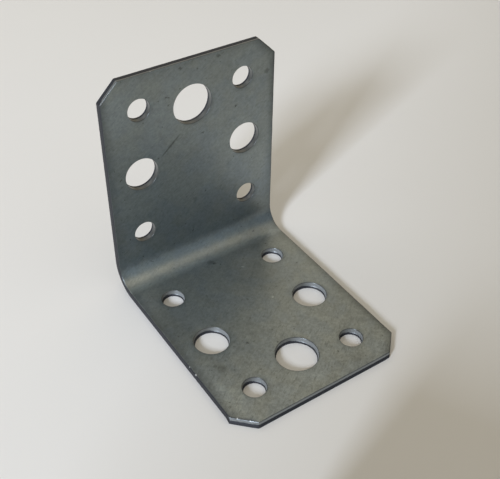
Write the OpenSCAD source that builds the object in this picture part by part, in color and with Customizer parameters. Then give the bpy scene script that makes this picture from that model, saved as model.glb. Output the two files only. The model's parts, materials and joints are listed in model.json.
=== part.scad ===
// Corner brace bracket: one strip of galvanised sheet, pierced, trimmed and folded square.
// The frame: X runs along the fold, Z is up along the upright leg, and the base leg lies on Z = 0
// with its free end towards -Y. The origin is the middle of the bounding box's underside.

/* [Sheet] */
// Width of the strip, along the fold
strip_w = 40; // [36:1:80]
// Thickness of the sheet
sheet_t = 1.5; // [1:0.1:2.5]

/* [Legs] */
// Length of the base leg, from the upright's outside face to its free end
base_len = 50; // [49:1:120]
// Height of the upright leg, from the base leg's underside to its free end
upright_len = 50; // [49:1:120]
// How far each free corner is cut back along both edges
corner_cut = 4; // [1:0.5:5]

/* [Fold] */
// Inside radius of the fold
fold_r = 4.5; // [1.5:0.5:5]

/* [Holes] */
// Diameter of the nail holes
nail_d = 5; // [3:0.5:5.5]
// Diameter of the pair of screw holes
screw_d = 7.5; // [5:0.5:8]
// Diameter of the bolt hole on the centre line
bolt_d = 9; // [6:0.5:11]

/* [Hole rows, measured from a leg's free end] */
// To the outer pair of nail holes
end_nail_row = 7.5; // [6.5:0.5:9]
// To the bolt hole
bolt_row = 10; // [8.5:0.5:12]
// To the pair of screw holes
screw_row = 22.5; // [20:0.5:25]
// To the inner pair of nail holes
heel_nail_row = 37.5; // [32:0.5:37.5]

/* [Hole spacings, across the strip] */
// Between the outer nail holes
end_nail_gap = 24; // [22:0.5:28]
// Between the screw holes
screw_gap = 25; // [20:0.5:26]
// Between the inner nail holes
heel_nail_gap = 26; // [18:0.5:28]

/* [Sheared edges] */
// Radius rolled over on the inside face of every sheared edge
edge_roll = 0.25; // [0.1:0.05:0.4]
// How far a pierced hole widens where the slug broke out on the outside face
breakout = 0.08; // [0.02:0.02:0.2]
// Share of the thickness over which it widens
breakout_share = 0.35; // [0.1:0.05:0.4]

/* [Hidden] */
$fn = 96;

// Chords in one rolled edge
roll_steps = 4;
// How far a cutter passes the surface that it cuts
past = 1;

fold_out = fold_r + sheet_t;
heel_y = base_len / 2;
roll_z = sheet_t - edge_roll;

// Points of a round stretch about a centre, from one angle to another
function arc(centre, r, from, to) =
    [for (i = [0:roll_steps]) let (a = from + (to - from) * i / roll_steps)
        centre + r * [cos(a), sin(a)]];

// The strip's cross-section: X across it, Y from the outside face to the inside face
function strip_section() = let (side = strip_w / 2 - edge_roll) concat(
    [[-strip_w / 2, 0], [strip_w / 2, 0]],
    arc([side, roll_z], edge_roll, 0, 90),
    arc([-side, roll_z], edge_roll, 90, 180));

// The sheet between the two legs, turned through a quarter circle
module fold() {
    translate([0, heel_y - fold_out, fold_out])
        rotate([0, 90, 0])
            rotate_extrude(angle = 90)
                polygon([for (p = strip_section()) [fold_out - p.y, p.x]]);
}

// What the punch takes out for one hole: rolled over where it enters the inside face,
// a straight land, then a wider break where the slug left through the outside face
module pierced_hole(d) {
    r = d / 2;
    rotate_extrude()
        polygon(concat(
            [[0, -past], [r + breakout, -past], [r + breakout, 0], [r, sheet_t * breakout_share]],
            arc([r + edge_roll, roll_z], edge_roll, 180, 90),
            [[r + edge_roll, sheet_t + past], [0, sheet_t + past]]));
}

// A pair of holes on one row across the strip
module hole_pair(d, gap, y) {
    for (side = [-1, 1])
        translate([side * gap / 2, y, 0])
            pierced_hole(d);
}

// The seven holes of one leg, whose free end is at Y = len
module hole_pattern(len) {
    hole_pair(nail_d, end_nail_gap, len - end_nail_row);
    hole_pair(screw_d, screw_gap, len - screw_row);
    hole_pair(nail_d, heel_nail_gap, len - heel_nail_row);
    translate([0, len - bolt_row, 0])
        pierced_hole(bolt_d);
}

// Trims everything beyond a straight cut that faces +Y, and rolls its upper edge over
module shear_cut() {
    rotate([90, 0, 90])
        linear_extrude(2 * strip_w, center = true)
            polygon(concat(
                [[0, -past]],
                arc([-edge_roll, roll_z], edge_roll, 0, 90),
                [[-edge_roll, sheet_t + past], [2 * corner_cut, sheet_t + past], [2 * corner_cut, -past]]));
}

// The free end of one leg: a square cut, and a slanting cut over each corner
module end_cuts(len) {
    translate([0, len, 0])
        shear_cut();
    for (side = [-1, 1])
        translate([side * (strip_w - corner_cut) / 2, len - corner_cut / 2, 0])
            rotate([0, 0, -45 * side])
                shear_cut();
}

// One flat leg with its outside face on Z = 0, the heel's outside face at Y = 0 and its free end at Y = len
module leg(len) {
    difference() {
        translate([0, len + past, 0])
            rotate([90, 0, 0])
                linear_extrude(len + past - fold_out)
                    polygon(strip_section());
        end_cuts(len);
        hole_pattern(len);
    }
}

// The whole bracket, one folded piece
module bracket() {
    color("slategray")
        union() {
            translate([0, heel_y, 0])
                rotate([0, 0, 180])
                    leg(base_len);
            translate([0, heel_y, 0])
                rotate([90, 0, 0])
                    leg(upright_len);
            fold();
        }
}

bracket();
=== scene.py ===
"""A galvanised corner brace bracket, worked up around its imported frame.

The sheet is made the way a press shop makes it: a flat blank is laid out with its holes, every cut
gets the rolled rim, the straight land and the torn break that a punch leaves, and the blank is
folded square. Places on the blank are millimetres: u across the strip, s along it from the base
leg's free end, and w through it from its outside face. Folded places are metres in the part's frame.
"""

import json
import logging
import math
import operator
from dataclasses import dataclass, field
from enum import Enum
from functools import reduce

import bpy
import numpy as np
from mathutils import Matrix, Vector, geometry, noise


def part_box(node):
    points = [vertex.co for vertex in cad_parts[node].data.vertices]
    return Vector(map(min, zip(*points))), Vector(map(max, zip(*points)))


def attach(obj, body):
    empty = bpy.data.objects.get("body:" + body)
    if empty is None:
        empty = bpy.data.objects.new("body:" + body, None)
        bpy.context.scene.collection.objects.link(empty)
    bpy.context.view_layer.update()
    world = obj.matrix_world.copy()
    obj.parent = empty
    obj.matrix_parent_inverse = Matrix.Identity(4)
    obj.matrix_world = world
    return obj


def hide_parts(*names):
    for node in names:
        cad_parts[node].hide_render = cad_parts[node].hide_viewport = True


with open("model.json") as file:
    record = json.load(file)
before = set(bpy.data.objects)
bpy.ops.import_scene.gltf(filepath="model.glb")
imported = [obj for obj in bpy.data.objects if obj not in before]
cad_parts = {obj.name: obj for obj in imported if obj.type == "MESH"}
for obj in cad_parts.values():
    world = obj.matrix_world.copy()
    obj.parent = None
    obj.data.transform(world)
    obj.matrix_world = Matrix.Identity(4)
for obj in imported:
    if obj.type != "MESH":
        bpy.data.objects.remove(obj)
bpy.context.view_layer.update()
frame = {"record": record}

LOG = logging.getLogger("corner_brace")
MM = 0.001
NODE = "bracket"
BODY = "root"
# Points closer than this are one, and triangles smaller than this are dropped, in mm and square mm
SAME_PLACE = 1e-7
NO_AREA = 1e-9
# Slice of the noise that the swelling of the rolls is read from
SWELL_SLICE = 9.1


class Side(Enum):
    """The two faces of the sheet."""

    INSIDE = "inside"
    OUTSIDE = "outside"


def heading(azimuth: float, elevation: float) -> Vector:
    """Makes a unit vector from angles.

    Args:
        azimuth: Degrees anticlockwise from +X.
        elevation: Degrees above the horizon.

    Returns:
        The vector.
    """
    az, el = math.radians(azimuth), math.radians(elevation)
    return Vector((math.cos(az) * math.cos(el), math.sin(az) * math.cos(el), math.sin(el)))


def placed(name: str, data: bpy.types.ID) -> bpy.types.Object:
    """Puts a mesh, a lamp or a camera in the scene.

    Args:
        name: What the object is called.
        data: The mesh, lamp or camera.

    Returns:
        The object.
    """
    made = bpy.data.objects.new(name, data)
    bpy.context.scene.collection.objects.link(made)
    return made


# ---------------------------------------------------------------- the flat blank


@dataclass(frozen=True)
class Fold:
    """Takes places on the flat blank to places on the folded sheet.

    Attributes:
        base_len: Base leg, from its free end to the upright's outside face, in mm.
        upright_len: Upright leg, from the base leg's underside to its free end, in mm.
        sheet_t: Thickness of the sheet, in mm.
        inner_radius: Inside radius of the fold, in mm.
        steps: Rows of the mesh across the fold.
        curl: How far the squeezed inside of the fold swells past the strip's sides, in mm.
        curl_from: Share of the strip's half width at which it starts to swell.
        curl_pivot: Share of the thickness at which the side stays where it is.
    """

    base_len: float
    upright_len: float
    sheet_t: float
    inner_radius: float = 4.5
    steps: int = 30
    curl: float = 0.05
    curl_from: float = 0.8
    curl_pivot: float = 0.3

    @property
    def outer_radius(self) -> float:
        """Outside radius of the fold, in mm."""
        return self.inner_radius + self.sheet_t

    @property
    def start(self) -> float:
        """Where the base leg stops being flat, in mm along the blank."""
        return self.base_len - self.outer_radius

    @property
    def arc(self) -> float:
        """Length of blank in the fold, at the middle of the sheet, in mm."""
        return (self.inner_radius + self.sheet_t / 2) * math.pi / 2

    @property
    def end(self) -> float:
        """Where the upright starts being flat, in mm along the blank."""
        return self.start + self.arc

    @property
    def length(self) -> float:
        """Length of the whole blank, in mm."""
        return self.end + self.upright_len - self.outer_radius

    def rows(self) -> np.ndarray:
        """Places along the blank, in mm, of the mesh rows across the fold, both ends included."""
        return np.linspace(self.start, self.end, self.steps + 1)

    def place(self, blank: np.ndarray, corner: Vector) -> np.ndarray:
        """Folds places on the blank.

        Args:
            blank: One row of (u, s, w) a place, in mm.
            corner: The folded sheet's box corner at its free end and underside, in metres.

        Returns:
            One row of (x, y, z) a place, in metres.
        """
        u, s, w = blank.T
        half = np.abs(u).max()
        turn = np.clip((s - self.start) / self.arc, 0, 1) * math.pi / 2
        reach = self.outer_radius - w
        past = np.maximum(s - self.end, 0)
        swell = self.curl * np.sin(2 * turn) * (w / self.sheet_t - self.curl_pivot)
        outward = np.clip((np.abs(u) / half - self.curl_from) / (1 - self.curl_from), 0, 1) ** 2
        x = u + np.sign(u) * swell * outward
        y = np.minimum(s, self.start) + reach * np.sin(turn)
        z = self.outer_radius - reach * np.cos(turn) + past
        middle = np.array((corner.x + half * MM, corner.y, corner.z))
        return np.stack([x, y, z], 1) * MM + middle


@dataclass(frozen=True)
class Edge:
    """How one stretch of cut came out.

    Attributes:
        roll: How much larger than usual its roll is.
        torn: How much of it is dark, from the outside face up, as a share of the thickness.
        pale: How bright its land is rubbed, from 0 to 1, or how far it is painted darker, down to -1, as
            painted shade on the shaded side of the upright's holes.
        darkening: How much darker the face beside it is, from 0 to 1.
        lean: How far the tear leans into the sheet at the outside face, in mm.
    """

    roll: float = 1.0
    torn: float = 0.4
    pale: float = 0.0
    dull: float = 0.0
    lean: float = -0.08


@dataclass(frozen=True)
class Punch:
    """How the punching of one leg left its holes.

    Attributes:
        edge: How most of each hole came out.
        shaded_edge: How it came out on the side of each hole that is painted in shade: a darker land and a
            darker face beside it are painted shade, and the torn part is taller there.
        shaded_side: Direction of that side from the centre, in degrees anticlockwise.
        shaded_cosine: Cosine of half the angle over which it goes.
        shaded_blend: Over how much of that cosine the face beside it changes.
    """

    edge: Edge
    shaded_edge: Edge
    shaded_side: float
    shaded_cosine: float = 0.45
    shaded_blend: float = 0.4


@dataclass(frozen=True)
class Hole:
    """A punched hole on the blank.

    Attributes:
        u: Its centre across the strip, in mm.
        s: Its centre along the strip, in mm.
        radius: Its radius, in mm.
        punch: How it came out.
    """

    u: float
    s: float
    radius: float
    punch: Punch

    def hardness(self, u: np.ndarray, s: np.ndarray) -> np.ndarray:
        """How far each place lies on the side painted in shade, seen from the centre.

        Args:
            u: Places across the strip, in mm.
            s: Places along it, in mm.

        Returns:
            0 on the plain side, 1 on the shaded side, and 0.5 where one meets the other.
        """
        facing = np.cos(np.arctan2(s - self.s, u - self.u) - math.radians(self.punch.shaded_side))
        return np.clip((facing - self.punch.shaded_cosine) / self.punch.shaded_blend + 0.5, 0, 1)


@dataclass(frozen=True)
class Ring:
    """One step of a cut's section.

    Attributes:
        inset: Distance into the sheet from the cut's straight land, in mm.
        depth: Distance below the inside face, in mm.
        cut: 0 on the sheet's own skin, and 1 on the cut.
        ragged: How far this ring strays from its true line, in mm.
        roll_inset: The part of the inset that grows with the roll, in mm.
        roll_depth: The part of the depth that grows with the roll, in mm.
        lean: How far down the lean of the tear it is, from 0 to 1.
    """

    inset: float
    depth: float
    cut: float
    ragged: float = 0.0
    roll_inset: float = 0.0
    roll_depth: float = 0.0
    lean: float = 0.0


@dataclass(frozen=True)
class CutForm:
    """The section that a punch leaves, from the inside face down to the outside face.

    Attributes:
        droop_width: How far from the land the face starts to sink, in mm.
        droop: How far the face has sunk where the roll begins, in mm.
        roll: Radius of the roll, in mm.
        break_share: Share of the thickness that tore instead of being sheared.
        burr: Height of the burr on the outside face, in mm.
        spring_back: How much smaller in radius a hole comes out than its tool, in mm.
        droop_steps: Where the droop has rings, as shares of its width.
        roll_steps: Where the roll has rings, in degrees from the face.
        land_steps: Where the land has rings, as shares of its depth.
        tear_steps: Where the tear has rings, as shares of its depth.
        land_stray: How far the land's end strays from its line, in mm.
        tear_stray: How far the tear strays, in mm.
        lip_stray: How far the burr's tip strays, in mm.
        lip_insets: Insets of the burr's tip, its foot and the flat beyond it, in mm.
        foot_share: Height of the burr's foot, as a share of its tip's.
        foot_cut: How much of the foot is cut rather than skin.
        lean_bend: Power with which the tear's lean grows with depth.
    """

    droop_width: float = 1.3
    droop: float = 0.03
    roll: float = 0.2
    break_share: float = 0.38
    burr: float = 0.02
    spring_back: float = 0.06
    droop_steps: tuple[float, ...] = (0, 0.35, 0.65, 0.87)
    roll_steps: tuple[float, ...] = (0, 18, 36, 54, 72, 90)
    land_steps: tuple[float, ...] = (0.35, 0.7, 1)
    tear_steps: tuple[float, ...] = (0.15, 0.4, 0.7, 1)
    land_stray: float = 0.004
    tear_stray: float = 0.022
    lip_stray: float = 0.012
    lip_insets: tuple[float, float, float] = (0.02, 0.08, 0.2)
    foot_share: float = 0.3
    foot_cut: float = 0.4
    lean_bend: float = 0.7

    def rings(self, sheet_t: float) -> list[Ring]:
        """Lists the rings of the section.

        Args:
            sheet_t: Thickness of the sheet, in mm.

        Returns:
            The rings, from the inside face to the outside face.
        """
        droops = [
            Ring(
                self.droop_width + (self.roll - self.droop_width) * t,
                self.droop * t * t,
                0,
                roll_inset=self.roll * t,
            )
            for t in self.droop_steps
        ]
        rolls = [
            Ring(
                self.roll * (1 - math.sin(a)),
                self.droop + self.roll * (1 - math.cos(a)),
                math.sin(a) ** 2,
                roll_inset=self.roll * (1 - math.sin(a)),
                roll_depth=self.roll * (1 - math.cos(a)) / 2,
            )
            for a in map(math.radians, self.roll_steps)
        ]
        tear = sheet_t * (1 - self.break_share)
        top = self.droop + self.roll
        tip, foot, flat = self.lip_insets
        lands = [
            Ring(0, top + (tear - top) * t, 1, self.land_stray * t, roll_depth=self.roll / 2 * (1 - t))
            for t in self.land_steps
        ]
        tears = [
            Ring(0, tear + (sheet_t - tip - tear) * t, 1, self.tear_stray, lean=t**self.lean_bend)
            for t in self.tear_steps
        ]
        lip = [
            Ring(tip, sheet_t + self.burr, 1, self.lip_stray, lean=1),
            Ring(foot, sheet_t + self.burr * self.foot_share, self.foot_cut, lean=1),
            Ring(flat, sheet_t, 0, lean=1),
        ]
        return droops + rolls + lands + tears + lip


@dataclass
class Rim:
    """A closed cut line on the blank, from which a section is swept.

    Attributes:
        land: Points of the cut's straight land, in mm.
        start: The matching points where the face starts to sink, in mm.
        reach: Distance between the two, in mm.
        edges: How the cut came out at each point.
    """

    land: np.ndarray
    start: np.ndarray
    reach: float
    edges: list[Edge]

    def at(self, inset: np.ndarray) -> np.ndarray:
        """The rim's points at distances into the sheet from the land."""
        return self.land + (self.start - self.land) * (inset / self.reach)[:, None]

    def read(self, name: str, spread: int = 3) -> np.ndarray:
        """One property of the edge at each point, evened out where it changes.

        Args:
            name: The property.
            spread: How many points to each side are averaged with each point.

        Returns:
            The property at each point.
        """
        values = np.array([getattr(edge, name) for edge in self.edges])
        return sum(np.roll(values, k) for k in range(-spread, spread + 1)) / (2 * spread + 1)


@dataclass
class Blank:
    """The flat strip with its holes and its cut corners.

    Attributes:
        width: Width of the strip, in mm.
        fold: The fold that the strip gets.
        holes: The holes in it.
        edges: How the outline's eight sides came out, in the order of its corners.
        form: The section of its cuts.
        corner_cut: How far each free corner is cut back along both edges, in mm.
        corner_radius: Radius left where two cuts meet, in mm.
        corner_steps: Chords in that radius.
        grid: Spacing of the mesh on the faces, in mm.
        row_share: Spacing of its rows, as a share of that along them.
        clearance: How far it keeps from the cuts' own rings, as a share of its spacing.
        edge_step: Spacing of the mesh along the cuts, in mm.
        hole_parts: Number of like parts in which the mesh goes round a hole.
        slide_length: How far from a corner the mesh leans towards it, in mm.
        darken_width: How far in from a darkened edge the face is darker, in mm.
        ring_width: How far out from a hole the face is darker, in mm.
        darken_fade: Power with which the darkening fades.
        fold_darken: Share of it that is left at the fold.
    """

    width: float
    fold: Fold
    holes: list[Hole]
    edges: list[Edge]
    form: CutForm = field(default_factory=CutForm)
    corner_cut: float = 4.0
    corner_radius: float = 0.35
    corner_steps: int = 4
    grid: float = 0.7
    row_share: float = 0.87
    clearance: float = 0.45
    edge_step: float = 0.3
    hole_parts: int = 8
    slide_length: float = 4.0
    darken_width: float = 2.3
    ring_width: float = 1.0
    darken_fade: float = 1.5
    fold_darken: float = 0.4

    def corners(self) -> np.ndarray:
        """Lays out the outline's corners.

        Returns:
            Its eight corners, anticlockwise from the base leg's free end, in mm.
        """
        half, cut, length = self.width / 2, self.corner_cut, self.fold.length
        right = [(half - cut, 0), (half, cut), (half, length - cut), (half - cut, length)]
        left = [(-u, s) for u, s in reversed(right)]
        return np.array(right + left, float)

    def _inset_corner(self, i: int, inset: float) -> np.ndarray:
        """Moves a corner of the outline in from both of its sides.

        Args:
            i: Which corner.
            inset: How far, in mm.

        Returns:
            The moved corner, in mm.
        """
        corners, normals = self.corners(), self._normals()
        before, after = normals[i - 1], normals[i]
        return corners[i] - (before + after) / (1 + before @ after) * inset

    def _normals(self) -> np.ndarray:
        """Works out which way the outline's sides face.

        Returns:
            Their outward normals, the i-th being that of the side after corner i.
        """
        along = np.roll(self.corners(), -1, 0) - self.corners()
        along /= np.linalg.norm(along, axis=1)[:, None]
        return np.stack([along[:, 1], -along[:, 0]], 1)

    def _side_steps(self, start: np.ndarray, end: np.ndarray) -> np.ndarray:
        """Spaces the outline's points along one side.

        Args:
            start: Where the side starts, in mm.
            end: Where it ends, in mm.

        Returns:
            Distances from the start, in mm, the start itself left out.
        """
        length = float(np.linalg.norm(end - start))
        if abs(end[1] - start[1]) < self.fold.length / 2:
            return np.linspace(0, length, max(2, round(length / self.edge_step)))[1:-1]
        low, high = sorted((start[1], end[1]))
        rows = self.fold.rows()
        parts = [
            np.linspace(a, b, round((b - a) / self.edge_step) + 1)
            for a, b in ((low, rows[0]), (rows[-1], high))
        ]
        stations = np.concatenate([parts[0][1:], rows[1:-1], parts[1][:-1]])
        return stations - low if end[1] > start[1] else (high - stations)[::-1]

    def outline(self) -> Rim:
        """Makes the rim of the blank's outline, with its corners rounded.

        Returns:
            The rim, anticlockwise.
        """
        reach = self.form.droop_width
        normals, count = self._normals(), len(self.corners())
        loops: dict[float, list] = {0.0: [], reach: []}
        edges: list[Edge] = []
        for i in range(count):
            j = (i + 1) % count
            normal = normals[i]
            along = np.array([-normal[1], normal[0]])
            before = math.atan2(*normals[i - 1][::-1])
            turn = (math.atan2(*normal[::-1]) - before) % (2 * math.pi)
            ends = {}
            for inset, loop in loops.items():
                radius = self.corner_radius if inset == 0 else self.corner_radius / 2
                hubs = [self._inset_corner(k, inset + radius) for k in (i, j)]
                for step in range(self.corner_steps + 1):
                    a = before + turn * step / self.corner_steps
                    loop.append(hubs[0] + radius * np.array([math.cos(a), math.sin(a)]))
                ends[inset] = [hub + radius * normal for hub in hubs]
            outer, inner = ends[0.0], ends[reach]
            length = (outer[1] - outer[0]) @ along
            shift = [(b - a) @ along for a, b in zip(outer, inner)]
            blend = min(self.slide_length, length / 2)
            for d in self._side_steps(*outer):
                slide = shift[0] * max(0, 1 - d / blend) + shift[1] * max(0, 1 - (length - d) / blend)
                loops[0.0].append(outer[0] + along * d)
                loops[reach].append(outer[0] + along * (d + slide) - normal * reach)
            edges += [self.edges[i]] * (len(loops[reach]) - len(edges))
        return Rim(np.array(loops[0.0]), np.array(loops[reach]), reach, edges)

    def hole_rim(self, hole: Hole) -> Rim:
        """Makes the rim of one hole.

        Args:
            hole: The hole.

        Returns:
            Its rim, clockwise, so that the sheet is on the same hand as at the outline.
        """
        radius = hole.radius - self.form.spring_back
        count = self.hole_parts * round(2 * math.pi * radius / self.edge_step / self.hole_parts)
        a = -np.arange(count) * 2 * math.pi / count
        out = np.stack([np.cos(a), np.sin(a)], 1)
        centre, reach = np.array([hole.u, hole.s]), self.form.droop_width
        land = centre + out * radius
        punch = hole.punch
        edges = [punch.shaded_edge if here > 0.5 else punch.edge for here in hole.hardness(*land.T)]
        return Rim(land, centre + out * (radius + reach), reach, edges)

    def darkening_near_cuts(self, blank: np.ndarray) -> np.ndarray:
        """Works out how much darker the faces are near the cuts.

        Args:
            blank: One row of (u, s, w) a place, in mm.

        Returns:
            How much darker the sheet is at each place, from 0 to 1.
        """
        u, s, _ = blank.T
        dull = np.zeros(len(blank))
        for corner, normal, edge in zip(self.corners(), self._normals(), self.edges):
            gap = (corner - blank[:, :2]) @ normal
            dull = np.maximum(dull, edge.dull * np.clip(1 - gap / self.darken_width, 0, 1) ** self.darken_fade)
        from_fold = np.abs(s / self.fold.length * 2 - 1)
        dull *= self.fold_darken + (1 - self.fold_darken) * from_fold
        # Round each hole the face is painted darker, most of all on its shaded side, where this is painted
        # shade.
        for hole in self.holes:
            gap = np.hypot(u - hole.u, s - hole.s) - hole.radius
            plain, shaded = hole.punch.edge.dull, hole.punch.shaded_edge.dull
            ring = plain + (shaded - plain) * hole.hardness(u, s)
            dull = np.maximum(dull, ring * np.clip(1 - gap / self.ring_width, 0, 1) ** self.darken_fade)
        return dull

    def face_points(self, inset: float) -> np.ndarray:
        """Points spread over the faces, clear of the cuts.

        Args:
            inset: Where the cuts' own rings end, in mm from their lands.

        Returns:
            One row of (u, s) a point, in mm.
        """
        half = self.width / 2 - inset
        rows = self.fold.rows()
        points = []
        for low, high in ((0.0, rows[0]), (rows[-1], self.fold.length)):
            count = round((high - low) / (self.grid * self.row_share))
            for k, s in enumerate(np.linspace(low, high, count + 1)):
                shift = 0.0 if s in (rows[0], rows[-1]) else self.grid / 2 * (k % 2)
                us = np.arange(-self.width / 2, self.width / 2, self.grid) + shift
                points += [(u, s) for u in us]
        columns = np.linspace(-half, half, round(2 * half / self.grid) + 1)[1:-1]
        points += [(u, s) for s in rows[1:-1] for u in columns]
        return self.clear_of_cuts(np.array(points), inset + self.grid * self.clearance)

    def clear_of_cuts(self, points: np.ndarray, gap: float) -> np.ndarray:
        """Drops the points that are close to a cut.

        Args:
            points: One row of (u, s) a point, in mm.
            gap: How far from every cut a point has to be, in mm.

        Returns:
            The points that are left.
        """
        u, s = np.abs(points[:, 0]), points[:, 1]
        end = np.minimum(s, self.fold.length - s)
        slant = (self.width / 2 - u + end - self.corner_cut) / math.sqrt(2)
        keep = (self.width / 2 - u > gap) & (end > gap) & (slant > gap)
        for hole in self.holes:
            keep &= np.hypot(points[:, 0] - hole.u, s - hole.s) > hole.radius + gap
        return points[keep]


# ---------------------------------------------------------------- marks of use


@dataclass(frozen=True)
class Scratch:
    """A scored line on the inside face.

    Attributes:
        ends: Its two ends, as (u, s) on the blank, in mm.
        width: Its width, in mm.
        depth: Its depth at the middle, in mm.
    """

    ends: tuple[tuple[float, float], tuple[float, float]]
    width: float
    depth: float

    def points(self, step: float = 0.3) -> np.ndarray:
        """Lays mesh points along the middle and both lips of the scratch.

        Args:
            step: Their spacing, in mm.

        Returns:
            One row of (u, s) a point, in mm.
        """
        a, b = (np.array(p) for p in self.ends)
        length = np.linalg.norm(b - a)
        along = (b - a) / length
        lip = np.array([-along[1], along[0]]) * self.width / 2
        middle = a + (b - a) * np.linspace(0, 1, round(length / step) + 1)[:, None]
        inner = middle[1:-1]
        return np.concatenate([middle, inner + lip, inner - lip])

    def share(self, places: np.ndarray, blunt: float = 0.02) -> np.ndarray:
        """Works out how deep in the scratch each place is.

        Args:
            places: One row of (u, s) a place, in mm.
            blunt: How far from each end its depth stays even, as a share of its length.

        Returns:
            0 outside the scratch and 1 at the middle of its bottom.
        """
        a, b = (np.array(p) for p in self.ends)
        along = b - a
        t = np.clip((places - a) @ along / (along @ along), 0, 1)
        gap = np.linalg.norm(places - a - t[:, None] * along, axis=1)
        tapered = np.sqrt(np.sin(math.pi * np.clip(t, blunt, 1 - blunt)))
        return np.clip(1 - gap / (self.width / 2), 0, 1) * tapered


@dataclass(frozen=True)
class Nick:
    """A knock on a cut edge.

    Attributes:
        place: Its middle, as (u, s, w) on the blank, in mm.
        push: Which way and how far the metal went there, in mm.
        size: How wide it is, in mm.
    """

    place: tuple[float, float, float]
    push: tuple[float, float, float]
    size: float

    def share(self, blank: np.ndarray) -> np.ndarray:
        """How much of the knock reaches each (u, s, w) place, from 0 to 1."""
        gap = np.linalg.norm(blank - np.array(self.place), axis=1)
        return np.exp(-((gap / self.size) ** 2) * 2)


@dataclass
class Wear:
    """What handling has done to the sheet.

    Attributes:
        scratches: Scored lines on the inside face.
        nicks: Knocks along the edges.
        wave: Height of the strip's slight waves, in mm.
        wave_length: Their length, in mm.
        full_depth: Depth from which a scratch is fully dark, in mm.
        wave_slice: Which slice of the noise the waves are.
        skin_depth: How far below the inside face a place still counts as on it, in mm.
    """

    scratches: list[Scratch]
    nicks: list[Nick]
    wave: float = 0.012
    wave_length: float = 13.0
    full_depth: float = 0.03
    wave_slice: float = 3.7
    skin_depth: float = 0.01

    def waves(self, blank: np.ndarray) -> np.ndarray:
        """Height of the waves at each place, in mm."""
        spots = blank[:, :2] / self.wave_length
        return np.array([self.wave * noise.noise((u, s, self.wave_slice)) for u, s in spots])

    def apply(self, blank: np.ndarray, sheet_t: float) -> tuple[np.ndarray, np.ndarray, np.ndarray]:
        """Marks the blank.

        Args:
            blank: One row of (u, s, w) a vertex, in mm.
            sheet_t: Thickness of the sheet, in mm.

        Returns:
            The moved vertices, how scored each is, and how knocked each is.
        """
        moved = blank.copy()
        scored, knocked = np.zeros(len(blank)), np.zeros(len(blank))
        inside = blank[:, 2] > sheet_t - self.skin_depth
        for scratch in self.scratches:
            share = scratch.share(blank[:, :2]) * inside
            moved[:, 2] -= share * scratch.depth
            scored = np.maximum(scored, share * min(1.0, scratch.depth / self.full_depth))
        for nick in self.nicks:
            share = nick.share(blank)
            moved += share[:, None] * np.array(nick.push)
            knocked = np.maximum(knocked, share)
        moved[:, 2] += self.waves(blank)
        return moved, scored, knocked


# ---------------------------------------------------------------- node trees


class Signal:
    """An output socket. Python's operators on it add Math nodes to its tree."""

    def __init__(self, tree: "Tree", socket: bpy.types.NodeSocket) -> None:
        """Wraps a socket of a tree."""
        self.tree = tree
        self.socket = socket

    def _math(self, operation: str, *values: "Signal | float") -> "Signal":
        """Adds a Math node on these values."""
        return self.tree.node("ShaderNodeMath", {"operation": operation}, dict(enumerate(values)))

    def __add__(self, other: "Signal | float") -> "Signal":
        """self + other."""
        return self._math("ADD", self, other)

    __radd__ = __add__

    def __sub__(self, other: "Signal | float") -> "Signal":
        """self - other."""
        return self._math("SUBTRACT", self, other)

    def __rsub__(self, other: "Signal | float") -> "Signal":
        """other - self."""
        return self._math("SUBTRACT", other, self)

    def __mul__(self, other: "Signal | float") -> "Signal":
        """self * other."""
        return self._math("MULTIPLY", self, other)

    __rmul__ = __mul__

    def ramp(self, low: float, high: float) -> "Signal":
        """0 below low, 1 above high, and a smooth step between."""
        values = {"Value": self, "From Min": low, "From Max": high}
        return self.tree.node("ShaderNodeMapRange", {"interpolation_type": "SMOOTHSTEP"}, values)

    def at_most(self, other: "Signal | float") -> "Signal":
        """The lower of the two."""
        return self._math("MINIMUM", self, other)


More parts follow.
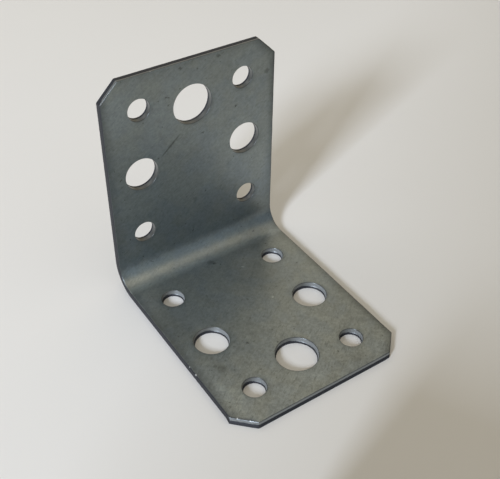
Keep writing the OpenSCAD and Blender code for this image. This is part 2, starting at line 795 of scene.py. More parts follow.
class Tree:
    """A node tree that is written as expressions."""

    def __init__(self, owner: bpy.types.Material | bpy.types.World | bpy.types.Light) -> None:
        """Empties the owner's tree, to start a new one.

        Args:
            owner: What the tree belongs to.
        """
        owner.use_nodes = True
        self.nodes = owner.node_tree.nodes
        self.links = owner.node_tree.links
        self.nodes.clear()

    def node(self, kind: str, settings: dict, inputs: dict, output: int | str = 0) -> Signal:
        """Adds a node.

        Args:
            kind: The node's type.
            settings: Its properties, which are set first.
            inputs: Values or signals of its input sockets, by name or number.
            output: The output socket to return.

        Returns:
            The output socket as a signal.
        """
        made = self.nodes.new(kind)
        for name, value in settings.items():
            setattr(made, name, value)
        for key, value in inputs.items():
            socket = made.inputs[key]
            if isinstance(value, Signal):
                self.links.new(value.socket, socket)
            else:
                socket.default_value = value
        return Signal(self, made.outputs[output])

    def attribute(self, name: str, output: str) -> Signal:
        """Reads an attribute that the mesh carries."""
        return self.node("ShaderNodeAttribute", {"attribute_name": name}, {}, output)

    def mix(self, low: "Signal | tuple", high: "Signal | tuple", share: "Signal | float") -> Signal:
        """The colour a share of the way from low to high."""
        settings = {"data_type": "RGBA", "clamp_factor": True}
        return self.node("ShaderNodeMix", settings, {0: share, 6: low, 7: high}, 2)

    def parts(self, vector: Signal) -> list[Signal]:
        """The three parts of a vector."""
        split = self.node("ShaderNodeSeparateXYZ", {}, {0: vector}).socket.node
        return [Signal(self, socket) for socket in split.outputs]

    def total(self, signals: list[Signal]) -> Signal:
        """The sum of some signals."""
        return reduce(operator.add, signals)

    def tinted(self, colour: "Signal | tuple", factor: Signal) -> Signal:
        """Darkens or brightens a colour.

        Args:
            colour: The colour.
            factor: What it is multiplied by.

        Returns:
            The new colour.
        """
        grey = self.node("ShaderNodeCombineColor", {}, {0: factor, 1: factor, 2: factor})
        settings = {"data_type": "RGBA", "blend_type": "MULTIPLY", "clamp_factor": True}
        return self.node("ShaderNodeMix", settings, {0: 1.0, 6: colour, 7: grey}, 2)

    def stretched(self, places: Signal, turn: float, scale: tuple[float, float, float]) -> Signal:
        """Turns places about Z and then scales them.

        Args:
            places: The places.
            turn: The angle, in radians.
            scale: The scale along each axis.

        Returns:
            The new places.
        """
        settings = {"rotation_type": "Z_AXIS"}
        turned = self.node("ShaderNodeVectorRotate", settings, {"Vector": places, "Angle": turn})
        return self.node("ShaderNodeVectorMath", {"operation": "MULTIPLY"}, {0: turned, 1: scale})

    def noise(self, places: Signal, scale: float, detail: float = 2.0, rough: float = 0.5) -> Signal:
        """Cloudy noise from 0 to 1.

        Args:
            places: Where it is read.
            scale: Its fineness.
            detail: How many finer noises it carries.
            rough: How strong those are.

        Returns:
            The noise.
        """
        values = {"Vector": places, "Scale": scale, "Detail": detail, "Roughness": rough}
        return self.node("ShaderNodeTexNoise", {"noise_dimensions": "3D"}, values)

    def near(self, places: Signal, spot: tuple[float, float, float], radius: float, blur: float) -> Signal:
        """1 within a radius of a spot, 0 outside it, with a blurred rim."""
        gap = self.node("ShaderNodeVectorMath", {"operation": "DISTANCE"}, {0: places, 1: spot}, "Value")
        return 1 - gap.ramp(radius - blur, radius + blur)

    def surface(self, shader: Signal) -> None:
        """Ends the tree with a surface shader."""
        out = self.nodes.new("ShaderNodeOutputMaterial")
        self.links.new(shader.socket, out.inputs["Surface"])


# ---------------------------------------------------------------- finishes


@dataclass(frozen=True)
class StainOrLightPatch:
    """A dark or pale spot on the inside face. A small one is a real mark. A broad soft one makes a region
    lighter or darker, some of them as painted light and shade.

    Attributes:
        u: Its place across the blank, in mm.
        s: Its place along the blank, in mm.
        radius: Its radius, in mm.
        shade: Its brightness as a share of the skin's.
        soft: Width of its blurred rim, as a share of its radius.
    """

    u: float
    s: float
    radius: float
    shade: float
    soft: float = 0.5


@dataclass(frozen=True)
class Mottle:
    """One layer of the skin's unevenness: a noise about nought.

    Attributes:
        scale: Its fineness, per mm.
        detail: How many finer noises it carries.
        rough: How strong those are.
        tone: How far it swings the brightness.
        gloss: How far it swings the roughness.
        relief: How far it swings the relief.
        drawn_out: Whether it runs along the roller's grain.
    """

    scale: float
    detail: float
    rough: float
    tone: float
    gloss: float = 0.0
    relief: float = 0.0
    drawn_out: bool = False


@dataclass(frozen=True)
class PaintedFoldLight:
    """A stretch across the strip painted lighter or darker than the rest, as painted light and shade at the
    fold.

    Attributes:
        rise: Where it begins and where it is full, in mm along the blank from the fold's start.
        fall: Where it begins to fade and where it is gone, in the same way.
        shade: Its brightness as a share of the skin's.
    """

    rise: tuple[float, float]
    fall: tuple[float, float]
    shade: float


@dataclass(frozen=True)
class DullZinc:
    """Hot-dipped zinc gone matte, with bare steel on the cuts.

    Attributes:
        sheet_t: Thickness of the sheet, in mm.
        fold_start: Where the fold starts along the blank, in mm.
        stains_and_light_patches: Real spots on the skin, and broad patches that make regions lighter or
            darker, some of them painted light and shade.
        skin: Colour of the zinc.
        cool: Its bluer patches.
        worn: Colour of the rolls and of a plain land.
        land: Colour of a land that the punch has rubbed bright.
        torn: Colour of the torn part.
        bright: Colour of fresh metal in a nick.
        metallic: How much of the skin's light is mirrored.
        cut_matte: How much less of it is on a cut.
        roughness: Roughness of the skin.
        torn_rough: How much rougher the torn part is.
        cut_smooth: How much smoother a cut is otherwise.
        grain_turn: Angle of the roller's grain from the strip's width, in radians.
        grain_stretch: How the grain's noise is scaled along and across it.
        layers: The skin's unevenness: clouds, cells, the grain and a fine speckle.
        painted_fold_light: A painted highlight where the fold starts, and painted shade over the fold and the
            foot of the upright.
        patch_scale: Fineness of the bluer patches, per mm.
        patch_band: Where the patches' noise starts and is full.
        handled_length: How far along the base leg handling shows, in mm.
        handled_gain: How much stronger the unevenness is there.
        dash_stretch: How the noise of the short dashes is scaled along and across the grain.
        dash_band: Where that noise starts and is full.
        dash_dark: How dark the dashes are.
        speck_scale: Fineness of the dark specks, per mm.
        speck_band: Where their noise starts and is full.
        speck_dark: How dark they are.
        score_band: Depth at which a scratch starts to darken and is dark, as shares.
        score_dark: How dark it is then.
        knock_band: Where a knock starts to show fresh metal and is bright, as shares.
        wall_band: Where a cut's section starts and is fully cut.
        roll_dark: How dark the roll is.
        tear_scale: Fineness of the tear's ragged line, per mm.
        tear_stray: How far the line strays, in mm.
        tear_soft: Half the width of its blur, in mm.
        tear_relief: Height of the torn part's grain against the skin's.
        relief_height: Height of the skin's relief, in metres.
        relief_strength: How strongly it turns the light.
        fray_scale: Fineness of the shaking that makes the spots and patches ragged, per mm.
    """

    sheet_t: float
    fold_start: float
    stains_and_light_patches: tuple[StainOrLightPatch, ...]
    skin: tuple[float, ...] = (0.266, 0.297, 0.292, 1)
    cool: tuple[float, ...] = (0.254, 0.291, 0.302, 1)
    worn: tuple[float, ...] = (0.14, 0.145, 0.138, 1)
    land: tuple[float, ...] = (0.36, 0.39, 0.41, 1)
    torn: tuple[float, ...] = (0.026, 0.028, 0.034, 1)
    bright: tuple[float, ...] = (0.45, 0.46, 0.45, 1)
    metallic: float = 0.88
    cut_matte: float = 0.45
    roughness: float = 0.36
    torn_rough: float = 0.3
    cut_smooth: float = 0.04
    grain_turn: float = math.radians(36)
    grain_stretch: tuple[float, float, float] = (0.5, 4.0, 1.0)
    layers: tuple[Mottle, ...] = (
        Mottle(0.5, 3.0, 0.6, tone=0.3),
        Mottle(1.5, 4.0, 0.65, tone=0.55, gloss=0.12, relief=0.5),
        Mottle(1.0, 4.0, 0.6, tone=0.3, gloss=0.1, relief=0.5, drawn_out=True),
        Mottle(7.0, 2.0, 0.5, tone=0.3, relief=0.3),
    )
    # Painted light: a painted highlight where the fold starts, then painted shade over the fold and the foot
    # of the upright.
    painted_fold_light: tuple[PaintedFoldLight, ...] = (
        PaintedFoldLight((-1.2, 0.2), (0.4, 2.2), 1.33),
        PaintedFoldLight((1.5, 6.5), (9.0, 24.0), 0.78),
    )
    patch_scale: float = 0.22
    patch_band: tuple[float, float] = (0.4, 0.62)
    handled_length: float = 40.0
    handled_gain: float = 0.7
    dash_stretch: tuple[float, float, float] = (0.8, 3.2, 1.0)
    dash_band: tuple[float, float] = (0.62, 0.74)
    dash_dark: float = 0.14
    speck_scale: float = 1.1
    speck_band: tuple[float, float] = (0.74, 0.79)
    speck_dark: float = 0.4
    score_band: tuple[float, float] = (0.15, 0.8)
    score_dark: float = 0.45
    knock_band: tuple[float, float] = (0.45, 0.75)
    wall_band: tuple[float, float] = (0.25, 0.75)
    roll_dark: float = 0.55
    tear_scale: float = 2.6
    tear_stray: float = 0.35
    tear_soft: float = 0.05
    tear_relief: float = 6.0
    relief_height: float = 0.006 * MM
    relief_strength: float = 0.6
    fray_scale: float = 2.2

    def build(self) -> bpy.types.Material:
        """Makes the material.

        Returns:
            The material.
        """
        made = bpy.data.materials.new("dull_zinc")
        tree = Tree(made)
        places = tree.attribute("blank", "Vector")
        cut, torn_share, pale = tree.parts(tree.attribute("edge", "Vector"))
        _, along, depth = tree.parts(places)
        drawn_out = tree.stretched(places, -self.grain_turn, self.grain_stretch)
        swings = []
        for layer in self.layers:
            where = drawn_out if layer.drawn_out else places
            swings.append((layer, tree.noise(where, layer.scale, layer.detail, layer.rough) - 0.5))

        tear_noise = tree.noise(places, self.tear_scale, detail=3.0, rough=0.6)
        tear_line = torn_share * self.sheet_t + (tear_noise - 0.5) * self.tear_stray
        wall = cut.ramp(*self.wall_band)
        torn = wall * (1 - (depth - tear_line).ramp(-self.tear_soft, self.tear_soft))

        cool = tree.noise(places, self.patch_scale, detail=3.0).ramp(*self.patch_band)
        mottle = tree.total([swing * layer.tone for layer, swing in swings])
        tone = self._tone(tree, places, along, mottle)
        colour = tree.tinted(tree.mix(self.skin, self.cool, cool), tone)
        # A negative pale darkens the land: painted shade on the shaded side of the upright's holes.
        land = tree.tinted(tree.mix(self.worn, self.land, pale), 1 + pale.at_most(0))
        rolled = cut * (1 - cut) * 4
        colour = tree.tinted(tree.mix(colour, land, wall), 1 - rolled * self.roll_dark)
        colour = tree.mix(colour, self.torn, torn)
        colour = tree.mix(colour, self.bright, tree.attribute("knocked", "Fac").ramp(*self.knock_band))

        rough = self.roughness + tree.total([swing * layer.gloss for layer, swing in swings if layer.gloss])
        relief = tree.total([swing * layer.relief for layer, swing in swings if layer.relief])
        torn_relief = tree.noise(places, scale=7.0, detail=4.0, rough=0.7) * torn * self.tear_relief
        bumps = {
            "Strength": self.relief_strength,
            "Distance": self.relief_height,
            "Height": relief + torn_relief,
        }
        inputs = {
            "Base Color": colour,
            "Metallic": self.metallic - wall * self.cut_matte,
            "Roughness": rough + torn * self.torn_rough - wall * self.cut_smooth,
            "Normal": tree.node("ShaderNodeBump", {}, bumps),
        }
        tree.surface(tree.node("ShaderNodeBsdfPrincipled", {}, inputs))
        return made

    def _tone(self, tree: Tree, places: Signal, along: Signal, mottle: Signal) -> Signal:
        """Works out how light the skin is, its painted light and shade included.

        Args:
            tree: The material's tree.
            places: Places on the blank, in mm.
            along: Their distances along the strip, in mm.
            mottle: The skin's unevenness.

        Returns:
            The brightness as a share of the plain skin's.
        """
        handled = 1 + (1 - along.ramp(0, self.handled_length)) * self.handled_gain
        stretched = tree.stretched(places, -self.grain_turn, self.dash_stretch)
        dashes = tree.noise(stretched, scale=1.0, detail=1.0)
        tone = (1 + mottle * handled) * (1 - dashes.ramp(*self.dash_band) * handled * self.dash_dark)
        # Painted highlight where the fold starts, and painted shade over the fold and the upright's foot.
        past = along - self.fold_start
        for fold_light in self.painted_fold_light:
            tone = tone * (1 + past.ramp(*fold_light.rise) * (1 - past.ramp(*fold_light.fall)) * (fold_light.shade - 1))
        specks = tree.noise(places, self.speck_scale, detail=1.0).ramp(*self.speck_band)
        scored = tree.attribute("scored", "Fac").ramp(*self.score_band)
        tone = tone * (1 - specks * self.speck_dark) * (1 - scored * self.score_dark)
        # Darker near the cut edges, with painted shade on the shaded side of each hole.
        tone = tone * (1 - tree.attribute("dull", "Fac"))
        # Real spots and marks, and broad patches, some of them painted light and shade.
        frayed = self._frayed(tree, places)
        for stain_or_patch in self.stains_and_light_patches:
            spot = (stain_or_patch.u, stain_or_patch.s, self.sheet_t)
            covered = tree.near(frayed, spot, stain_or_patch.radius, stain_or_patch.radius * stain_or_patch.soft)
            tone = tone * (1 + covered * (stain_or_patch.shade - 1))
        return tone

    def _frayed(self, tree: Tree, places: Signal) -> Signal:
        """Shakes places a little, so that what is drawn from them has a ragged outline.

        Args:
            tree: The material's tree.
            places: Places on the blank, in mm.

        Returns:
            The shaken places.
        """
        values = {"Vector": places, "Scale": self.fray_scale, "Detail": 3.0}
        shake = tree.node("ShaderNodeTexNoise", {}, values, "Color")
        centred = tree.node("ShaderNodeVectorMath", {"operation": "SUBTRACT"}, {0: shake, 1: (0.5, 0.5, 0.5)})
        return tree.node("ShaderNodeVectorMath", {"operation": "ADD"}, {0: places, 1: centred})


@dataclass(frozen=True)
class PaleTable:
    """The plain pale surface that the bracket stands on.

    Attributes:
        colour: Its colour.
        roughness: Its roughness.
        cloud_scale: Fineness of its faint clouds, per metre.
        cloud_tone: How far they swing its brightness.
    """

    colour: tuple[float, ...] = (0.74, 0.735, 0.715, 1)
    roughness: float = 0.55
    cloud_scale: float = 9.0
    cloud_tone: float = 0.05

    def build(self) -> bpy.types.Material:
        """Makes the material.

        Returns:
            The material.
        """
        made = bpy.data.materials.new("pale_table")
        tree = Tree(made)
        places = tree.node("ShaderNodeTexCoord", {}, {}, "Object")
        cloud = tree.noise(places, self.cloud_scale, detail=4.0)
        colour = tree.tinted(self.colour, 1 + (cloud - 0.5) * self.cloud_tone)
        inputs = {"Base Color": colour, "Roughness": self.roughness}
        tree.surface(tree.node("ShaderNodeBsdfPrincipled", {}, inputs))
        return made


# ---------------------------------------------------------------- the bracket


@dataclass
class Bracket:
    """The whole bracket, one folded sheet.

    Attributes:
        blank: The flat strip.
        wear: What has happened to it.
        finish: Its surface.
        corner: Box corner of the folded sheet at the base leg's free end, in metres.
        swell_scale: Fineness of the roll's swelling along a cut, per mm.
        swell_share: How far it swells, as a share of its size.
        stray_scale: Fineness of a cut's raggedness, per mm.
        scratch_gap: How far a scratch's own points keep from the cuts' rings, in mm.
        clear_gap: How far other points keep from them, in mm.
    """

    blank: Blank
    wear: Wear
    finish: DullZinc
    corner: Vector
    swell_scale: float = 0.35
    swell_share: float = 0.5
    stray_scale: float = 2.3
    scratch_gap: float = 0.1
    clear_gap: float = 0.2

    def _triangles(self, points: np.ndarray, loops: list[list[int]]) -> list[tuple[int, ...]]:
        """Fills the outline with triangles and leaves the holes open.

        Args:
            points: One row of (u, s) a point.
            loops: Rising indices of each cut's points, with the sheet on their left.

        Returns:
            Triangles as indices, anticlockwise.
        """
        edges = [(a, b) for loop in loops for a, b in zip(loop, loop[1:] + loop[:1])]
        owner = {v: n for n, loop in enumerate(loops) for v in loop}
        flat = [Vector(p) for p in points]
        _, _, faces, origin, _, _ = geometry.delaunay_2d_cdt(flat, edges, [], 0, SAME_PLACE)
        kept = []
        for face in faces:
            a, b, c = sorted(origin[v][0] for v in face)
            area = np.cross(points[b] - points[a], points[c] - points[a])
            outside = area < 0 and a in owner and owner[a] == owner.get(b) == owner.get(c)
            if not outside and abs(area) > NO_AREA:
                kept.append((a, b, c) if area > 0 else (a, c, b))
        return kept

    def _swept(self, rim: Rim, rings: list[Ring]) -> tuple[np.ndarray, np.ndarray]:
        """Sweeps the cut's section round one rim.

        Args:
            rim: The cut line.
            rings: The section.

        Returns:
            One row of (u, s, w) a vertex, ring by ring, and one row of (cut, torn, pale) a vertex.
        """
        sheet_t = self.blank.fold.sheet_t
        places, states = [], []
        wander = np.array([noise.noise((u, s, SWELL_SLICE)) for u, s in rim.land * self.swell_scale])
        swell = rim.read("roll") * (1 + self.swell_share * wander)
        spots = rim.land * self.stray_scale
        for ring in rings:
            stray = np.array([noise.noise((u, s, ring.depth * 4)) for u, s in spots])
            inset = ring.inset + ring.roll_inset * (swell - 1) + ring.lean * rim.read("lean")
            line = rim.at(inset + stray * ring.ragged)
            depth = ring.depth + ring.roll_depth * (swell - 1)
            places.append(np.column_stack([line, sheet_t - depth]))
            states.append(np.column_stack([np.full(len(line), ring.cut), rim.read("torn"), rim.read("pale")]))
        return np.concatenate(places), np.concatenate(states)

    def _laid_out(self) -> tuple[np.ndarray, np.ndarray, list[tuple[int, ...]]]:
        """Builds the flat blank's mesh.

        Returns:
            One row of (u, s, w) a vertex, one row of (cut, torn, pale) a vertex, and the faces.
        """
        blank, sheet_t = self.blank, self.blank.fold.sheet_t
        rings = blank.form.rings(sheet_t)
        places, cuts, faces = np.zeros((0, 3)), np.zeros((0, 3)), []
        firsts = []
        for rim in [blank.outline()] + [blank.hole_rim(hole) for hole in blank.holes]:
            swept, cut = self._swept(rim, rings)
            n = len(rim.land)
            firsts.append((len(places), n))
            for first in range(len(places), len(places) + len(swept) - n, n):
                strip = [(first + i, first + (i + 1) % n) for i in range(n)]
                faces += [(a, a + n, b + n, b) for a, b in strip]
            places, cuts = np.concatenate([places, swept]), np.concatenate([cuts, cut])
        for side in Side:
            inside = side is Side.INSIDE
            ring_no = 0 if inside else len(rings) - 1
            loops = [list(range(t + ring_no * n, t + (ring_no + 1) * n)) for t, n in firsts]
            extra = blank.face_points(rings[ring_no].inset)
            if inside:
                extra = self._with_scratches(extra)
            faces += self._face(places, loops, extra, inside)
            height = np.full(len(extra), sheet_t if inside else 0.0)
            places = np.concatenate([places, np.column_stack([extra, height])])
            cuts = np.concatenate([cuts, np.zeros((len(extra), 3))])
        return places, cuts, faces

    def _face(
        self, places: np.ndarray, loops: list[list[int]], extra: np.ndarray, inside: bool
    ) -> list[tuple[int, ...]]:
        """Fills one face of the sheet.

        Args:
            places: One row of (u, s, w) a vertex so far.
            loops: The vertices of the cuts' rings that bound the face.
            extra: One row of (u, s) a new vertex on the face, numbered after those so far.
            inside: Whether it is the inside face.

        Returns:
            Triangles as vertex numbers, facing out.
        """
        shared = np.concatenate(loops)
        flat = np.concatenate([places[shared, :2], extra])
        index = np.concatenate([shared, np.arange(len(places), len(places) + len(extra))])
        local = {int(v): i for i, v in enumerate(shared)}
        triangles = self._triangles(flat, [[local[v] for v in loop] for loop in loops])
        turned = [tri if inside else tri[::-1] for tri in triangles]
        return [tuple(int(index[v]) for v in tri) for tri in turned]

    def _with_scratches(self, points: np.ndarray) -> np.ndarray:
        """Puts the scratches' own points in place of those that they run over.

        Args:
            points: One row of (u, s) a point, in mm.

        Returns:
            The new points, in the same form.
        """
        reach = self.blank.form.droop_width + self.scratch_gap
        for scratch in self.wear.scratches:
            own = self.blank.clear_of_cuts(scratch.points(), reach)
            gaps = np.linalg.norm(points[:, None] - own[None], axis=2).min(1)
            points = np.concatenate([points[gaps > self.clear_gap], own])
        return points

    @staticmethod
    def _normals(places: np.ndarray, faces: list[tuple[int, ...]]) -> np.ndarray:
        """Works out vertex normals in which large faces count for more, so that the flats stay flat.

        Args:
            places: One row of (x, y, z) a vertex.
            faces: Triangles and quads as vertex numbers.

        Returns:
            One unit vector a vertex.
        """
        total = np.zeros_like(places)
        for size in (3, 4):
            same = np.array([f for f in faces if len(f) == size])
            corners = places[same] - places[same[:, :1]]
            normal = np.cross(corners[:, 1], corners[:, 2])
            if size == 4:
                normal += np.cross(corners[:, 2], corners[:, 3])
            for k in range(size):
                np.add.at(total, same[:, k], normal)
        return total / np.linalg.norm(total, axis=1)[:, None]

    def build(self) -> bpy.types.Object:
        """Makes the piece and puts it in the scene.

        Returns:
            The piece.
        """
        flat, cut, faces = self._laid_out()
        worn, scored, knocked = self.wear.apply(flat, self.blank.fold.sheet_t)
        places = self.blank.fold.place(worn, self.corner)
        mesh = bpy.data.meshes.new("folded_sheet")
        mesh.from_pydata(places.tolist(), [], faces)
        masks = {"scored": scored, "knocked": knocked, "dull": self.blank.darkening_near_cuts(flat)}
        for name, values in masks.items():
            target = mesh.attributes.new(name, "FLOAT", "POINT")
            target.data.foreach_set("value", values.astype(np.float32))
        for name, rows in {"blank": flat, "edge": cut}.items():
            target = mesh.attributes.new(name, "FLOAT_VECTOR", "POINT")
            target.data.foreach_set("vector", rows.astype(np.float32).ravel())
        mesh.polygons.foreach_set("use_smooth", np.ones(len(faces), bool))
        mesh.normals_split_custom_set_from_vertices(self._normals(places, faces).tolist())
        mesh.materials.append(self.finish.build())
        return placed("folded_sheet", mesh)


# ---------------------------------------------------------------- table, light and camera


@dataclass
class Table:
    """The surface under the bracket.

    Attributes:
        height: Where its top is, in metres.
        half: Half its side, in metres.
        steps: Faces along each side.
    """

    height: float
    half: float = 1.5
    steps: int = 24

    def build(self) -> bpy.types.Object:
        """Makes the table top as a sheet of quads.

        Returns:
            The table top.
        """
        across = self.steps + 1
        line = np.linspace(-self.half, self.half, across)
        places = [(x, y, self.height) for y in line for x in line]
        starts = [r * across + c for r in range(self.steps) for c in range(self.steps)]
        faces = [(v, v + 1, v + across + 1, v + across) for v in starts]
        mesh = bpy.data.meshes.new("table_top")
        mesh.from_pydata(places, [], faces)
        mesh.materials.append(PaleTable().build())
        return placed("table_top", mesh)


@dataclass(frozen=True)
class Softbox:
    """A rectangular lamp that faces the bracket.

    Attributes:
        name: What it is called.
        azimuth: Where it stands, in degrees anticlockwise from +X.
        elevation: How high it stands, in degrees.
        distance: How far off, in metres.
        size: Its width and height, in metres.
        power: Its power, in watts.
        colour: Its colour.
    """

    name: str
    azimuth: float
    elevation: float
    distance: float
    size: tuple[float, float]
    power: float
    colour: tuple[float, float, float]

    def build(self, target: Vector) -> bpy.types.Object:
        """Makes the lamp and turns it to the bracket.

        Args:
            target: The middle of the bracket, in metres.

        Returns:
            The lamp.
        """
        data = bpy.data.lights.new(self.name, "AREA")
        data.shape = "RECTANGLE"
        data.size, data.size_y = self.size
        data.energy = self.power
        data.color = self.colour
        lamp = placed(self.name, data)
        out = heading(self.azimuth, self.elevation)
        lamp.location = target + out * self.distance
        lamp.rotation_euler = out.to_track_quat("Z", "Y").to_euler()
        return lamp


@dataclass(frozen=True)
class Viewpoint:
    """The camera.

    Attributes:
        azimuth: Where it stands, in degrees anticlockwise from +X.
        elevation: Height above the horizon, in degrees.
        roll: Turn about its own axis, in degrees.
        distance: How far it stands from its aim, in metres.
        aim: What it looks at, in metres from the middle of the part's box.
        lens: Focal length, in mm.
        sensor: Width of its sensor, in mm.
        nearest: How near it can see, in metres.
    """

    azimuth: float = 235.87
    elevation: float = 40.24
    roll: float = 0.73
    distance: float = 0.16226
    aim: tuple[float, float, float] = (-0.00204, -0.00094, -0.00227)
    lens: float = 59.92
    sensor: float = 36.0
    nearest: float = 0.005

    def build(self, middle: Vector) -> bpy.types.Object:
        """Makes the camera and gives the scene its view.

        Args:
            middle: The middle of the part's box, in metres.

        Returns:
            The camera.
        """
        data = bpy.data.cameras.new("viewpoint")
        data.lens = self.lens
        data.sensor_width = self.sensor
        data.clip_start = self.nearest
        camera = placed("viewpoint", data)
        back = heading(self.azimuth, self.elevation)
        rolled = Matrix.Rotation(math.radians(self.roll), 4, "Z").to_quaternion()
        camera.rotation_euler = (back.to_track_quat("Z", "Y") @ rolled).to_euler()
        camera.location = middle + Vector(self.aim) + back * self.distance
        bpy.context.scene.camera = camera
        return camera


@dataclass(frozen=True)
class Flag:
    """A dark upright board that keeps a lamp's light off part of the table.

    Attributes:
        name: What it is called.
        azimuth: Where it stands, in degrees anticlockwise from +X.
        distance: How far off, in metres.
        left: Its left edge as the bracket sees it, in metres to the left of the line to the bracket.
        width: Its width, in metres.
        height: Its height, in metres.
        colour: Its colour.
    """

    name: str
    azimuth: float
    distance: float
    left: float
    width: float
    height: float
    colour: tuple[float, ...] = (0.12, 0.115, 0.11, 1)

    def build(self, target: Vector) -> bpy.types.Object:
        """Makes the board, standing on edge and square to the line to the bracket.

        Args:
            target: The middle of the bracket, in metres.

        Returns:
            The board.
        """
        out = heading(self.azimuth, 0)
        side = Vector((-out.y, out.x, 0))
        foot = Vector((target.x, target.y, 0)) + out * self.distance + side * self.left
        across, up = side * self.width, Vector((0, 0, self.height))
        mesh = bpy.data.meshes.new(self.name)
        mesh.from_pydata([foot, foot + across, foot + across + up, foot + up], [], [(0, 1, 2, 3)])
        made = bpy.data.materials.new("dark_board")
        tree = Tree(made)
        tree.surface(tree.node("ShaderNodeBsdfPrincipled", {}, {"Base Color": self.colour}))
        mesh.materials.append(made)
        return placed(self.name, mesh)


@dataclass(frozen=True)
class Patch:
    """A part of the room that is lighter or darker than the rest.

    Attributes:
        azimuth: Its middle, in degrees anticlockwise from +X.
        elevation: Height of its middle, in degrees.
        inner: Angle from its middle within which it is even, in degrees.
        outer: Angle from its middle at which it has faded out, in degrees.
        colour: The light that comes from it.
    """

    azimuth: float
    elevation: float
    inner: float
    outer: float
    colour: tuple[float, ...]


@dataclass
class Studio:
    """Soft light around the table.

    Attributes:
        lamps: The lamps.
        walls: The light that comes from all round.
        patches: What differs from it, each laid over those before.
        strength: Strength of all of it.
    """

    lamps: list[Softbox]
    walls: tuple[float, ...]
    patches: list[Patch]
    strength: float

    def build(self, target: Vector) -> None:
        """Makes the room's light and the lamps.

        Args:
            target: The middle of the bracket, in metres.
        """
        world = bpy.data.worlds.new("room")
        bpy.context.scene.world = world
        tree = Tree(world)
        way = tree.node("ShaderNodeTexCoord", {}, {}, "Generated")
        colour = self.walls
        for patch in self.patches:
            ends = {0: way, 1: heading(patch.azimuth, patch.elevation)}
            facing = tree.node("ShaderNodeVectorMath", {"operation": "DOT_PRODUCT"}, ends, "Value")
            limits = [math.cos(math.radians(a)) for a in (patch.outer, patch.inner)]
            colour = tree.mix(colour, patch.colour, facing.ramp(*limits))
        light = tree.node("ShaderNodeBackground", {}, {"Color": colour, "Strength": self.strength})
        out = tree.nodes.new("ShaderNodeOutputWorld")
        tree.links.new(light.socket, out.inputs["Surface"])
        for lamp in self.lamps:
            lamp.build(target)
        bpy.context.scene.view_settings.view_transform = "Standard"


SCRATCHES = (
    Scratch(((-8.1, 76.1), (-3.0, 80.5)), 0.75, 0.035),
    Scratch(((-4.6, 79.2), (5.0, 85.9)), 0.45, 0.01),
    Scratch(((-1.4, 52.6), (-0.9, 55.8)), 0.5, 0.018),
    Scratch(((10.5, 85.0), (13.5, 86.6)), 0.4, 0.009),
)

NICKS = (
    Nick((-20.0, 16.4, 1.4), (0.08, 0.0, -0.04), 0.5),
    Nick((-19.95, 18.9, 1.42), (0.06, 0.0, -0.03), 0.33),
    Nick((-9.0, 96.4, 1.45), (0.0, -0.05, -0.04), 0.45),
    Nick((-19.35, 3.8, 1.3), (0.04, 0.04, -0.03), 0.24),
    Nick((-18.85, 3.1, 1.36), (0.03, 0.03, -0.03), 0.34),
    Nick((-18.0, 2.45, 1.3), (0.04, 0.04, -0.03), 0.2),
    Nick((-17.1, 1.35, 1.36), (0.03, 0.03, -0.03), 0.3),
)

# Real spots and marks on the inside face first, then broad soft patches that make regions lighter or darker.
STAINS_AND_LIGHT_PATCHES = (
    StainOrLightPatch(-6.8, 17.9, 0.3, 0.55),
    StainOrLightPatch(10.3, 82.5, 0.28, 0.4),
    StainOrLightPatch(-0.3, 62.4, 0.6, 0.84),
    StainOrLightPatch(6.7, 62.4, 0.5, 0.86),
    StainOrLightPatch(-2.5, 95.0, 0.4, 0.6),
    StainOrLightPatch(6.2, 95.3, 0.4, 0.6),
    StainOrLightPatch(18.0, 88.5, 0.6, 0.62),
    StainOrLightPatch(-0.2, 43.0, 0.7, 0.66),
    StainOrLightPatch(0.4, 42.3, 0.35, 0.55),
    StainOrLightPatch(5.2, 37.8, 0.22, 1.7),
    StainOrLightPatch(5.25, 26.1, 0.22, 1.7),
    StainOrLightPatch(-14.75, 14.7, 0.9, 0.72),
    StainOrLightPatch(-15.6, 16.2, 0.4, 0.7),
    StainOrLightPatch(-17.5, 11.0, 0.9, 1.16),
    StainOrLightPatch(-18.2, 22.0, 0.8, 1.14),
    # Broad soft patches. The two at s 47.5 are painted shade that dims the fold's highlight, and the two on
    # the upright's upper left are painted light on its reflection.
    StainOrLightPatch(17.5, 12.0, 9.0, 0.87, 1.0),
    StainOrLightPatch(8.0, 1.0, 5.0, 0.88, 1.0),
    StainOrLightPatch(8.0, 33.0, 6.5, 0.88, 1.0),
    StainOrLightPatch(-19.5, 7.0, 4.5, 1.2, 1.0),
    StainOrLightPatch(-19.5, 28.0, 5.0, 0.88, 1.0),
    StainOrLightPatch(14.5, 47.5, 5.5, 0.76, 1.0),
    StainOrLightPatch(3.0, 47.5, 5.0, 0.94, 1.0),
    StainOrLightPatch(-19.0, 49.0, 7.0, 1.18, 1.0),
    StainOrLightPatch(-19.5, 91.5, 5.5, 1.2, 1.0),
    StainOrLightPatch(-9.0, 86.0, 9.0, 1.13, 1.0),
)


# Each punch's shaded edge paints shade on one side of its holes: a darker land and a darker ring on the face
# beside it.
BASE_PUNCH = Punch(
    edge=Edge(roll=0.8, torn=0.25, pale=0.55, dull=0.18, lean=-0.24),
    shaded_edge=Edge(roll=0.8, torn=0.4, dull=0.22, lean=-0.24),
    shaded_side=125.0,
)

UPRIGHT_PUNCH = Punch(
    edge=Edge(roll=0.6, torn=0.24, lean=-0.06),
    shaded_edge=Edge(roll=0.6, torn=0.28, pale=-0.35, dull=0.22, lean=-0.08),
    shaded_side=-60.0,
)

BOARDS = (
    Flag("window_frame", azimuth=206, distance=0.4, left=0.03, width=0.5, height=0.6),
    Flag("low_board", azimuth=206, distance=0.065, left=0.03, width=0.05, height=0.042),
)


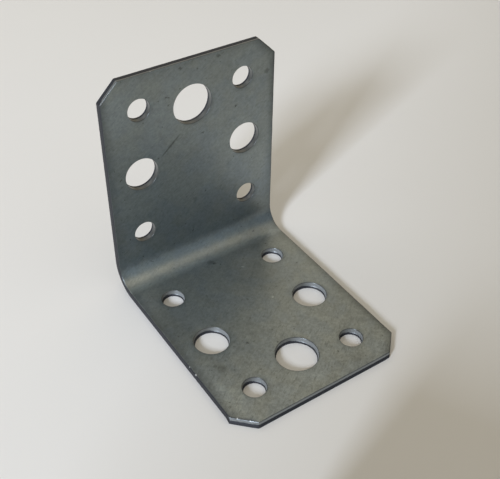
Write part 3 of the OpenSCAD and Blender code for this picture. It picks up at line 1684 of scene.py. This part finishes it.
def strip_edges() -> list[Edge]:
    """Says how the outline came out: slit along the sides and cropped at the ends.

    Returns:
        The edges of its eight sides, in the order of its corners.
    """
    left_side = Edge(roll=1.2, torn=1.15, dull=0.52, lean=0)
    right_side = Edge(roll=1.2, torn=1.15, dull=0.66, lean=0)
    right_corner = Edge(torn=0.6, dull=0.5, lean=-0.1)
    near_end = Edge(torn=0.5, pale=0.3, dull=0.08, lean=-0.24)
    far_end = Edge(roll=0.6, torn=0.7, dull=0.1, lean=0.04)
    near_corner = Edge(roll=3.0, torn=0.45, pale=0.5, lean=-0.3)
    far_corner = Edge(torn=0.6, lean=0)
    return [right_corner, right_side, right_corner, far_end, far_corner, left_side, near_corner, near_end]


# ---------------------------------------------------------------- the job


def read_holes(record: dict, low: Vector, high: Vector, length: float) -> list[Hole]:
    """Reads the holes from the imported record.

    Args:
        record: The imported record.
        low: Lowest corner of the CAD node, in metres.
        high: Its highest corner, in metres.
        length: Length of the blank, in mm.

    Returns:
        The holes on the blank.
    """
    holes = []
    for mount in record["mounts"]:
        dims = mount["dims"]
        radius = dims.get("hole_r_mm", dims.get("r_mm"))
        if radius is None:
            continue
        x, y, z = mount["pos_m"]
        on_base = bool(mount["axis"][2])
        s = (y - low.y) / MM if on_base else length - (high.z - z) / MM
        punch = BASE_PUNCH if on_base else UPRIGHT_PUNCH
        offset = dims.get("spacing_x_mm", 0) / 2
        sides = (-1, 1) if offset else (1,)
        holes += [Hole(x / MM + side * offset, s, radius, punch) for side in sides]
    return holes


def room_light() -> Studio:
    """Sets out the light: a high window, a weak glow behind, and an uneven room.

    Returns:
        The studio.
    """
    window = Softbox(
        "window",
        azimuth=206,
        elevation=27,
        distance=1.6,
        size=(0.3, 0.36),
        power=30.5,
        colour=(0.81, 0.885, 1.02),
    )
    side_glow = Softbox(
        "side_glow",
        azimuth=118,
        elevation=42,
        distance=0.3,
        size=(0.15, 0.15),
        power=0.075,
        colour=(1.0, 0.98, 0.95),
    )
    patches = [
        Patch(azimuth=293, elevation=5, inner=35, outer=60, colour=(0.36, 0.41, 0.44, 1)),
        Patch(azimuth=320, elevation=90, inner=28, outer=50, colour=(0.82, 0.73, 0.60, 1)),
        Patch(azimuth=62, elevation=48, inner=12, outer=38, colour=(0.77, 0.68, 0.54, 1)),
        Patch(azimuth=130, elevation=40, inner=25, outer=50, colour=(0.20, 0.19, 0.17, 1)),
    ]
    return Studio([window, side_glow], walls=(0.49, 0.435, 0.315, 1), patches=patches, strength=1.0)


def main() -> None:
    """Builds the bracket, the table, the lamps and the camera, in that order."""
    logging.basicConfig(level=logging.INFO, format="%(name)s: %(message)s")
    low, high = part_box(NODE)
    record = frame["record"]
    sheet_t = min(m["pos_m"][2] for m in record["mounts"] if m["kind"] == "bolt_pattern") / MM
    fold = Fold((high.y - low.y) / MM, (high.z - low.z) / MM, sheet_t)
    holes = read_holes(record, low, high, fold.length)
    blank = Blank((high.x - low.x) / MM, fold, holes, strip_edges())
    wear = Wear(scratches=list(SCRATCHES), nicks=list(NICKS))
    finish = DullZinc(sheet_t, fold.start, STAINS_AND_LIGHT_PATCHES)
    sheet = Bracket(blank, wear, finish, low).build()
    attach(sheet, BODY)
    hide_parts(NODE)
    LOG.info("folded_sheet: %d vertices, %d faces", len(sheet.data.vertices), len(sheet.data.polygons))

    middle = (low + high) / 2
    floor_z = min(v.co.z for v in sheet.data.vertices)
    Table(floor_z).build()
    room_light().build(middle)
    for board in BOARDS:
        board.build(middle)
    Viewpoint().build(middle)
    LOG.info("table, lamps and camera are in place")


if __name__ == "__main__":
    main()
